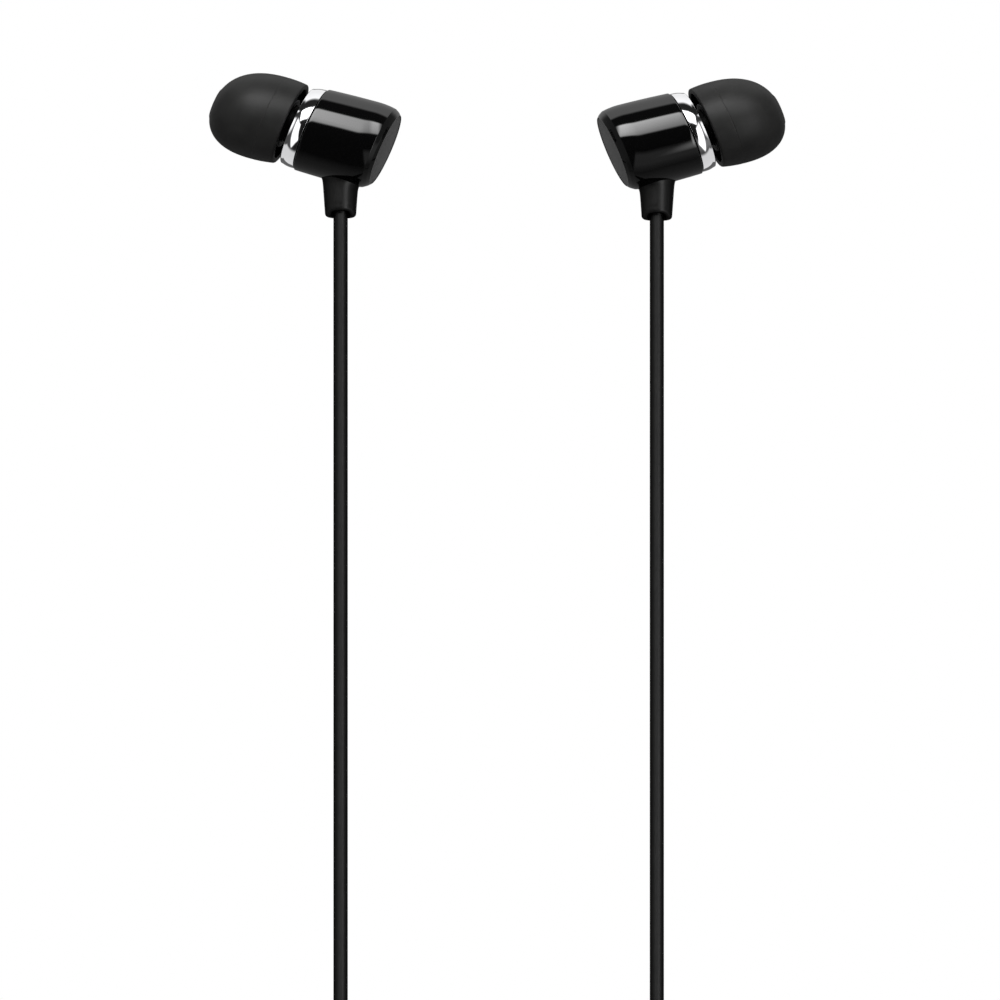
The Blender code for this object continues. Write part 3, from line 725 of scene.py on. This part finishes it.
def build_earpiece(suffix, mats):
    """All the shown pieces of one side; returns the ring, which has its own lights."""
    matrix, upright = axis_matrix(suffix), boot_matrix(suffix)
    ear_tip(suffix, matrix, mats)
    ring = chrome_ring(suffix, matrix, mats)
    barrel(suffix, matrix, mats)
    end_cap(suffix, matrix, mats)
    front_shell(suffix, matrix, mats)
    nozzle_mesh(suffix, matrix, mats)
    boot(suffix, matrix, upright, mats)
    cable_end(suffix, upright, mats)
    return ring


# ------------------------------------------------------------------ cables

FOOT_BEND_R = 14.0
SPLIT_AXIS_Z = 1.7
SPLIT_HALF_LENGTH = 8.0


def lay_down(points, start_height, floor_height):
    """Lowers a flat path to the floor over its first stretch."""
    drop_length = 11.0
    laid, travelled, previous = [], 0.0, points[0]
    for point in points:
        travelled += (point - previous).length
        previous = point
        height = start_height + (floor_height - start_height) * smoothstep(travelled / drop_length)
        laid.append(Vector((point.x, point.y, height)))
    return laid


def build_branch(suffix, mats):
    """Two lengths of one cable, which meet on the rigid upright stretch between its joints."""
    bend_steps, low_steps, top_steps = 28, 20, 80
    mouth = Vector(JOINTS["branch_swing" + suffix]["pos_m"]) / MM
    pivot = Vector(JOINTS["earpiece_bend" + suffix]["pos_m"]) / MM
    start = Vector((mouth.x, mouth.y, 0))
    foot = Vector((pivot.x, pivot.y + FOOT_BEND_R, 0))
    plan = bezier(start, start + Vector((0, -20, 0)), foot + Vector((0, 22, 0)), foot, 70)
    in_splitter = [Vector((mouth.x, -5.2 - 0.3 * k, SPLIT_AXIS_Z)) for k in range(12)]
    path = in_splitter + lay_down(plan, SPLIT_AXIS_Z, BRANCH_R)
    for k in range(1, bend_steps + 1):
        angle = math.radians(90 * k / bend_steps)
        rise = FOOT_BEND_R * (1 - math.cos(angle))
        path.append(foot + Vector((0, -FOOT_BEND_R * math.sin(angle), BRANCH_R + rise)))
    low_top = path[-1].z
    meeting = pivot.z - 40.0
    for k in range(1, low_steps + 1):
        path.append(Vector((pivot.x, pivot.y, low_top + (meeting - low_top) * k / low_steps)))
    lower = sweep("cable_lower" + suffix, path, BRANCH_R, mats["cable_jacket"])
    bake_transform(lower)
    top = pivot.z + PIVOT_CLEARANCE + 1.2
    heights = [meeting + (top - meeting) * k / top_steps for k in range(top_steps + 1)]
    path = [Vector((pivot.x, pivot.y, height)) for height in heights]
    upper = sweep("cable_upper" + suffix, path, BRANCH_R, mats["cable_jacket"])
    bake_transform(upper)
    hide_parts("cable_branch" + suffix)


COIL_Y, COIL_OUTER_R, COIL_PITCH, COIL_WHOLE_TURNS = 60.0, 38.0, 2.5, 4
TAIL_R = 9.0


def coil_end_angle():
    """Where the spiral stops, so that the last bend brings the plug back to the middle line."""
    inner = COIL_OUTER_R - COIL_PITCH * (COIL_WHOLE_TURNS + 1 / 6)
    return math.acos(-TAIL_R / (inner - TAIL_R))


def coil_points(per_turn):
    """The flat spiral, from its outer end inwards."""
    total = math.pi - coil_end_angle() + math.tau * COIL_WHOLE_TURNS
    steps = round(total / math.tau * per_turn)
    points = []
    for k in range(steps + 1):
        turned_by = total * k / steps
        radius = COIL_OUTER_R - COIL_PITCH * turned_by / math.tau
        angle = math.pi - turned_by
        points.append(Vector((radius * math.cos(angle), COIL_Y + radius * math.sin(angle), TRUNK_R)))
    return points


def tail_points(spiral_end, plug_height, steps):
    """The last bend, which also lifts the cable to the plug's height."""
    start_angle = coil_end_angle()
    centre = spiral_end - TAIL_R * Vector((math.cos(start_angle), math.sin(start_angle), 0))
    points = []
    for k in range(1, steps + 1):
        angle = start_angle * (1 - k / steps)
        lift = (plug_height - TRUNK_R) * smoothstep(k / steps)
        points.append(centre + Vector((TAIL_R * math.cos(angle), TAIL_R * math.sin(angle), lift)))
    return points


def build_trunk(mats):
    """The trunk cable: one length to the last bend, and one from there to the plug."""
    per_turn, tail_steps, bend_at = 120, 48, 24
    pivot = Vector(JOINTS["plug_bend"]["pos_m"]) / MM
    spiral = coil_points(per_turn)
    exit_point = Vector((0, SPLIT_HALF_LENGTH + 1.0, 0))
    join = Vector((spiral[0].x, spiral[0].y, 0))
    plan = bezier(exit_point, exit_point + Vector((0, 9, 0)), join - Vector((0, 37, 0)), join, 80)[:-1]
    in_splitter = [Vector((0, 4.0 + 0.4 * k, SPLIT_AXIS_Z)) for k in range(12)]
    tail = tail_points(spiral[-1], pivot.z, tail_steps)
    path = in_splitter + lay_down(plan, SPLIT_AXIS_Z, TRUNK_R) + spiral + tail[:bend_at]
    main = sweep("cable_coil", path, TRUNK_R, mats["cable_jacket"])
    place(main, "trunk", "cable_jacket", "cable_trunk")
    nose = [pivot - Vector((0, 0.25 * k, 0)) for k in range(1, 9)]
    end = sweep("cable_plug_end", tail[bend_at - 1:] + nose, TRUNK_R, mats["cable_jacket"])
    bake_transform(end)


# ------------------------------------------------------------------ splitter and plug


def in_fixed_order(bm):
    """The same mesh sorted by position, because bevelling leaves its parts in no fixed order."""
    verts = sorted(bm.verts, key=lambda vert: [round(c, 5) for c in vert.co])
    place_of = {vert: k for k, vert in enumerate(verts)}
    faces = []
    for face in bm.faces:
        corners = [place_of[vert] for vert in face.verts]
        first = corners.index(min(corners))
        faces.append(corners[first:] + corners[:first])
    ordered = bmesh.new()
    points = [ordered.verts.new(vert.co) for vert in verts]
    for corners in sorted(faces):
        ordered.faces.new([points[k] for k in corners])
    bm.free()
    return ordered


def splitter_half(name, outer, inner, mats, *nodes):
    """One moulded half, from its outer face to the seam: rounded corners, a soft rim, a fine edge."""
    mouth, tail, half, waist_at = 3.3, 2.4, SPLIT_HALF_LENGTH, SPLIT_HALF_LENGTH * 0.45
    corner_r, rim_r, seam_r = 1.3, 0.5, 0.08
    low, high = sorted((outer, inner))
    one_side = [(mouth, -half), (mouth - 0.15, -waist_at), (tail + 0.05, waist_at), (tail, half)]
    other_side = [(-x, y) for x, y in reversed(one_side)]
    bm = bmesh.new()
    face = bm.faces.new([bm.verts.new((x, y, low)) for x, y in other_side[-1:] + one_side + other_side[:-1]])
    grown = bmesh.ops.extrude_face_region(bm, geom=[face])
    raised = [item for item in grown["geom"] if isinstance(item, bmesh.types.BMVert)]
    bmesh.ops.translate(bm, vec=(0, 0, high - low), verts=raised)
    upright = [e for e in bm.edges if abs(e.verts[0].co.z - e.verts[1].co.z) > 0.1]
    corners = [e for e in upright if abs(abs(e.verts[0].co.y) - half) < 0.01]
    bmesh.ops.bevel(bm, geom=corners, offset=corner_r, segments=10, profile=0.5, affect="EDGES")
    for level, size, steps in ((outer, rim_r, 6), (inner, seam_r, 2)):
        rim = [e for e in bm.edges if all(abs(v.co.z - level) < 1e-4 for v in e.verts)]
        bmesh.ops.bevel(bm, geom=rim, offset=size, segments=steps, profile=0.5, affect="EDGES")
    piece = finish_mesh(name, in_fixed_order(bm), mats["rubber_black"])
    return place(piece, "trunk", "rubber_black", *nodes)


def collar(name, x, y_inner, y_outer, cable_r, mats):
    """The raised lip that the moulding makes round a cable where it leaves the splitter."""
    towards = 1 if y_outer > y_inner else -1
    length = abs(y_outer - y_inner)
    bore, lip = cable_r + 0.02, cable_r + 0.42
    outline = fillet([(0, bore), (0, lip), (length, lip - 0.12, 0.2), (length, bore)], 8)
    turn = Matrix(((1, 0, 0), (0, 0, towards), (0, -towards, 0))).to_4x4()
    matrix = Matrix.Translation((x, y_inner, SPLIT_AXIS_Z)) @ turn
    piece = revolve(name, outline, mats["rubber_black"], matrix, sides=64, closed=True)
    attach(piece, "trunk")


def build_splitter(mats):
    lid_top, seam_half = 3.4, 0.02
    inset, trunk_reach, branch_reach, branch_x = 0.3, 0.7, 0.6, 1.6
    base_top, lid_low = SPLIT_AXIS_Z - seam_half, SPLIT_AXIS_Z + seam_half
    splitter_half("splitter_shell_base", 0.0, base_top, mats, "splitter_base", "splitter_core")
    splitter_half("splitter_shell_lid", lid_top, lid_low, mats, "splitter_lid")
    half = SPLIT_HALF_LENGTH
    collar("splitter_collar_trunk", 0, half - inset, half + trunk_reach, TRUNK_R, mats)
    for suffix, side in SIDES:
        x = side * branch_x
        collar("splitter_collar" + suffix, x, inset - half, -half - branch_reach, BRANCH_R, mats)


def grip_outline():
    """The plug's handle: a stepped, ribbed relief, a waisted grip and a bore for cable and core."""
    ribs, first_rib, first_r = 4, 1.1, 1.6
    rise, pitch, groove = 0.1875, 1.75, 0.14
    grip = [(15.0, 1.1), (first_rib, 1.1), (first_rib, first_r, 0.12)]
    for k in range(ribs):
        low, radius = first_rib + k * pitch, first_r + rise * k
        grip.append((low + pitch * 0.62, radius + rise * 0.6, 0.12))
        if k < ribs - 1:
            grip.append((low + pitch * 0.66, radius - groove, 0.05))
            grip.append((low + pitch * 0.96, radius - groove, 0.05))
            grip.append((low + pitch, radius + rise, 0.1))
    grip += [(8.1, 2.7, 0.2), (8.6, 3.2, 0.3), (12.0, 3.12, 2.0), (19.0, 3.12, 2.0), (22.6, 3.2, 0.25),
             (23.1, 2.8, 0.15), (23.1, 1.83), (19.0, 1.83), (19.0, 1.1)]
    return fillet(grip)


def build_plug(mats):
    """Heights run from the cable's hinge to the end of the contacts."""
    core_r, contact_r, band_r, contact_edge, band_edge = 1.05, 1.75, 1.7, 0.06, 0.05
    pivot = Vector(JOINTS["plug_bend"]["pos_m"]) / MM
    matrix = Matrix.Translation(pivot) @ Matrix(((1, 0, 0), (0, 0, -1), (0, 1, 0))).to_4x4()
    handle = revolve("plug_handle", grip_outline(), mats["rubber_black"], matrix, sides=128, closed=True)
    place(handle, "plug", "rubber_black", "plug_grip", "plug_cable_end")
    stack = [
        ("contact_sleeve", "plug_sleeve", 19.0, 29.3, contact_r, "gold", contact_edge),
        ("insulator_rear", "plug_band_rear", 29.35, 29.9, band_r, "abs_black", band_edge),
        ("contact_ring", "plug_ring", 29.95, 32.3, contact_r, "gold", contact_edge),
        ("insulator_front", "plug_band_front", 32.35, 32.9, band_r, "abs_black", band_edge),
    ]
    for name, node, low, high, radius, slot, edge in stack:
        outline = fillet([(low, core_r), (low, radius, edge), (high, radius, edge), (high, core_r)])
        place(revolve(name, outline, mats[slot], matrix, sides=96, closed=True), "plug", slot, node)
    nose = fillet([(32.95, 0), (32.95, contact_r, 0.05), (33.5, contact_r, 0.12), (34.45, 1.3, 0.35),
                   (35.15, 1.6, 0.3), (35.75, 1.6, 0.4), (36.95, 0.55, 0.3), (37.1, 0.3, 0.1), (37.1, 0)], 8)
    place(revolve("contact_tip", nose, mats["gold"], matrix, sides=96), "plug", "gold", "plug_tip")


# ------------------------------------------------------------------ stage, light and camera


FLOOR_HALF = 6000
FLOOR_DROP = 0.2  # keeps the floor clear of what lies on it
FLOOR_GLOW = 0.36  # added to what the camera sees of the floor


def build_floor():
    """A pale floor; a camera below it sees through its underside."""
    made, nodes, shader, where = new_material("floor_paper", roughness=0.8)
    tint(nodes, shader, nodes.noise(where, 3.0), (0.41, 0.41, 0.41), (0.43, 0.43, 0.43))
    from_below = nodes.add("ShaderNodeNewGeometry").outputs["Backfacing"]
    seen = nodes.add("ShaderNodeLightPath").outputs["Is Camera Ray"]
    shader.inputs["Emission Color"].default_value = (1, 1, 1, 1)
    nodes.link(nodes.maths("MULTIPLY", seen, FLOOR_GLOW), shader.inputs["Emission Strength"])
    clear = nodes.add("ShaderNodeMixShader")
    nodes.link(nodes.maths("MULTIPLY", from_below, seen), clear.inputs[0])
    nodes.link(shader.outputs[0], clear.inputs[1])
    nodes.link(nodes.add("ShaderNodeBsdfTransparent").outputs[0], clear.inputs[2])
    nodes.link(clear.outputs[0], made.node_tree.nodes["Material Output"].inputs["Surface"])
    bm = bmesh.new()
    bmesh.ops.create_grid(bm, x_segments=8, y_segments=8, size=FLOOR_HALF)
    floor = finish_mesh("floor", bm, made)
    floor.location.z = -FLOOR_DROP * MM
    floor.visible_glossy = False


STRONGEST = 5.0  # light level that counts as 1 in the ramps
KEY_GAIN = 1.65  # of the softbox
SIDE_LEVEL = 0.12  # light from far left and far right

# Light levels by angle in degrees: 0 is level on the camera's side, 90 overhead, 180 level behind
LIGHT_BANDS = {
    "softbox": [(18, 0.0), (22, 2.8), (32, 3.8), (54, 4.8), (57, 0.0)],
    "surround": [(-180, 0.22), (-130, 0.16), (-95, 0.1), (-70, 0.02), (-20, 0.015), (60, 0.03), (86, 0.03),
                 (93, 1.0), (125, 0.65), (179.9, 0.3)],
    "reflector": [(-85, 0.0), (-60, 0.2), (-34, 0.22), (-22, 0.0)],
    "strip": [(-50, 0.0), (-30, 3.2), (8, 3.2), (16, 0.0)],
}
# How strong the softbox is from left to right; 0.5 is the middle
KEY_BY_SIDE = [(0.17, 1.0), (0.3, 0.9), (0.42, 0.8), (0.5, 0.7), (0.6, 0.56), (0.72, 0.5), (0.83, 0.75)]


def light_levels(nodes, direction):
    """The strength of the light from a direction, as a node output."""
    split = nodes.add("ShaderNodeSeparateXYZ")
    nodes.link(direction, split.inputs[0])
    x, y, z = split.outputs
    turn = nodes.maths("ARCTAN2", z, nodes.maths("MULTIPLY", y, -1.0))
    share = nodes.maths("ADD", nodes.maths("DIVIDE", turn, math.tau), 0.5)
    band = {}
    for name, stops in LIGHT_BANDS.items():
        band[name] = nodes.ramp(share, [((angle + 180) / 360, level / STRONGEST) for angle, level in stops])
    sideways = nodes.maths("ABSOLUTE", x)
    softbox_ends = nodes.fade(sideways, 0.44, 0.55, 1.0, 0.0)
    towards_side = nodes.fade(sideways, 0.5, 0.75, 0.0, 1.0)
    away_from_side = nodes.maths("SUBTRACT", 1.0, towards_side)
    right_only = nodes.fade(x, -0.02, 0.04, 0.0, 1.0)
    strip_starts = nodes.fade(x, 0.42, 0.52, 0.0, 1.0)
    strip_ends = nodes.fade(x, 0.66, 0.76, 1.0, 0.0)
    key_side = nodes.ramp(nodes.maths("ADD", x, 0.5), KEY_BY_SIDE)
    total = nodes.product(band["softbox"], key_side, softbox_ends, KEY_GAIN)
    for part in (nodes.product(band["reflector"], right_only),
                 nodes.product(band["strip"], strip_starts, strip_ends),
                 nodes.product(band["surround"], away_from_side),
                 nodes.product(towards_side, SIDE_LEVEL / STRONGEST)):
        total = nodes.maths("ADD", total, part)
    return nodes.maths("MULTIPLY", total, STRONGEST)


def build_world():
    """The room that lights the object: a softbox above the camera, a white ceiling from overhead to
    behind, a weak reflector below on the right, an upright strip further right, and dim even sides.
    The camera itself sees plain white."""
    world = bpy.data.worlds.new("studio")
    world.use_nodes = True
    bpy.context.scene.world = world
    nodes = Nodes(world.node_tree)
    world.node_tree.nodes.clear()
    direction = nodes.add("ShaderNodeTexCoord").outputs["Generated"]
    studio = nodes.add("ShaderNodeBackground")
    nodes.link(light_levels(nodes, direction), studio.inputs["Strength"])
    white = nodes.add("ShaderNodeBackground")
    white.inputs["Color"].default_value = (1, 1, 1, 1)
    mixed = nodes.add("ShaderNodeMixShader")
    nodes.link(nodes.add("ShaderNodeLightPath").outputs["Is Camera Ray"], mixed.inputs[0])
    nodes.link(studio.outputs[0], mixed.inputs[1])
    nodes.link(white.outputs[0], mixed.inputs[2])
    nodes.link(mixed.outputs[0], nodes.add("ShaderNodeOutputWorld").inputs["Surface"])


def soft_panel(name, centre, across, up, size, radiance, receivers):
    """An area light with faded edges that lights only the receivers, along -(across x up)."""
    faded_edge = 0.12  # share of the panel's width
    light = bpy.data.lights.new(name, "AREA")
    light.shape = "RECTANGLE"
    light.size, light.size_y = size
    light.energy = radiance * math.pi * light.size * light.size_y
    light.use_nodes = True
    nodes = Nodes(light.node_tree)
    split = nodes.add("ShaderNodeSeparateXYZ")
    nodes.link(nodes.add("ShaderNodeNewGeometry").outputs["Parametric"], split.inputs[0])
    fades = []
    for share in split.outputs[:2]:
        nearest_edge = nodes.maths("MINIMUM", share, nodes.maths("SUBTRACT", 1.0, share))
        fades.append(nodes.fade(nearest_edge, 0.0, faded_edge, 0.0, 1.0))
    nodes.link(nodes.product(*fades), light.node_tree.nodes["Emission"].inputs["Strength"])
    panel = bpy.data.objects.new(name, light)
    bpy.context.scene.collection.objects.link(panel)
    turn = Matrix((across, up, across.cross(up))).transposed().to_4x4()
    panel.matrix_world = Matrix.Translation(centre) @ turn
    panel.visible_camera = False
    panel.light_linking.receiver_collection = receivers


PANEL_ABOVE, PANEL_BELOW, PANEL_BESIDE = 0.8, 0.9, 2.0  # brightness of the panels
PANEL_TILT = -18.5  # degrees above the horizontal, from the earpieces to the panels beside them


def light_rings(rings):
    """Panels above, below and beside the earpieces, in metres, that light only the chrome rings."""
    receivers = bpy.data.collections.new("chrome_rings")
    for ring in rings:
        receivers.objects.link(ring)
    middle = Vector((0, -0.07, 0.195))
    rightwards, forward = Vector((1, 0, 0)), Vector((0, -1, 0))
    above, below = middle + Vector((0, 0.315, 0.4)), middle + Vector((0, 0.126, -0.17))
    soft_panel("panel_above", above, rightwards, -forward, (1.2, 0.77), PANEL_ABOVE, receivers)
    soft_panel("panel_below", below, rightwards, forward, (1.0, 0.337), PANEL_BELOW, receivers)
    tilt = math.radians(PANEL_TILT)
    outwards = Vector((0, -math.cos(tilt), math.sin(tilt)))
    round_axis = Vector((0, math.sin(tilt), math.cos(tilt)))
    for suffix, side in SIDES:
        centre = middle + Vector((side * 0.16, 0, 0)) + outwards * 0.2
        if side > 0:
            across, up, size = round_axis, outwards, (0.31, 0.24)
        else:
            across, up, size = outwards, round_axis, (0.24, 0.31)
        soft_panel("panel" + suffix, centre, across, up, size, PANEL_BESIDE, receivers)


VIEW_BELOW = 7.8  # degrees below the horizontal that the camera looks up from
SIDEWAYS_STRETCH = 1.29
CAMERA_DISTANCE = 3.5  # metres
FRAME_WIDTH = 146.2
TARGET_X, TARGET_BELOW = 0.07, 52.76  # the frame's middle, from the middle line and the barrels' height


def build_camera():
    """An oblique camera: its sideways axis is turned out of square with its line of sight,
    so the picture is wider than life while upright lines stay parallel."""
    pivot = Vector(JOINTS["earpiece_bend_left"]["pos_m"]) / MM
    crossing_height = pivot.z + BOOT_BOTTOM + PIVOT_CLEARANCE
    target = Vector((TARGET_X, pivot.y, crossing_height - TARGET_BELOW)) * MM
    below = math.radians(VIEW_BELOW)
    back = Vector((0, -math.cos(below), -math.sin(below)))
    slant = math.acos(1 / SIDEWAYS_STRETCH)
    sideways = Vector((math.cos(slant), 0, 0)) + back * math.sin(slant)
    shape = Matrix((sideways, Vector((0, 0, 1)), back)).transposed().to_4x4()
    shape.translation = target + back * CAMERA_DISTANCE
    data = bpy.data.cameras.new("camera")
    data.sensor_width = 36
    data.lens = data.sensor_width * CAMERA_DISTANCE / (FRAME_WIDTH * MM)
    data.clip_start, data.clip_end = 0.01, 50
    camera = bpy.data.objects.new("camera", data)
    rig = bpy.data.objects.new("camera_rig", None)
    for obj in (camera, rig):
        bpy.context.scene.collection.objects.link(obj)
    camera.parent = rig
    camera.matrix_parent_inverse = shape
    bpy.context.scene.camera = camera


def main():
    materials = make_materials()
    paint_cad_nodes(materials)
    rings = []
    for suffix, _ in SIDES:
        rings.append(build_earpiece(suffix, materials))
    for suffix, _ in SIDES:
        build_branch(suffix, materials)
    build_trunk(materials)
    build_splitter(materials)
    build_plug(materials)
    build_floor()
    build_world()
    light_rings(rings)
    build_camera()
    bpy.context.scene.view_settings.view_transform = "Standard"


main()
